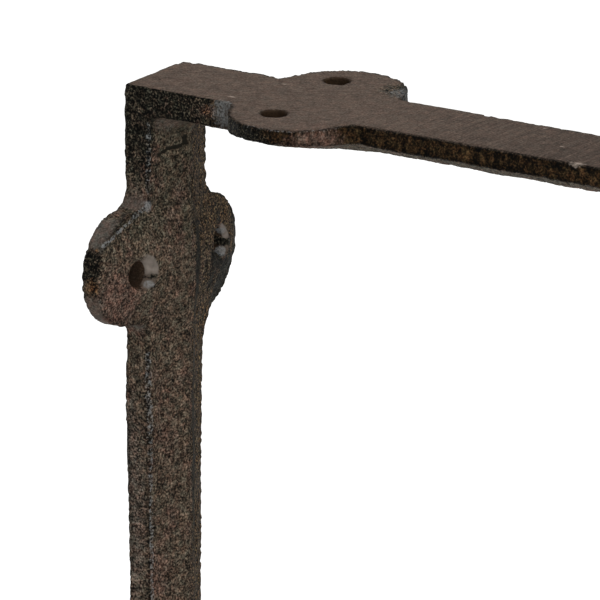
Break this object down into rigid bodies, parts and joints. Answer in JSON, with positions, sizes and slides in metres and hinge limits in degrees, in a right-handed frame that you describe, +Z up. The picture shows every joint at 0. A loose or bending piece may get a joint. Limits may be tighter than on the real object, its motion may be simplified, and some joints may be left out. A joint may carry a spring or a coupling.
{
  "type": "shelf bracket",
  "caption": "Cast iron shelf bracket with a gabled leg and arm at a right angle and a pair of round screw ears on each.",
  "frame": {"origin": "on the wall plane, midway between the two wall screws", "axes": "+X points straight out from the wall, along the arm; +Z points up, towards the shelf"},
  "size_m": [0.203, 0.0636, 0.152],
  "materials": {
    "cast_iron": "rough"
  },
  "bodies": {
    "root": {"bracket": "cast_iron"}
  },
  "joints": []
}
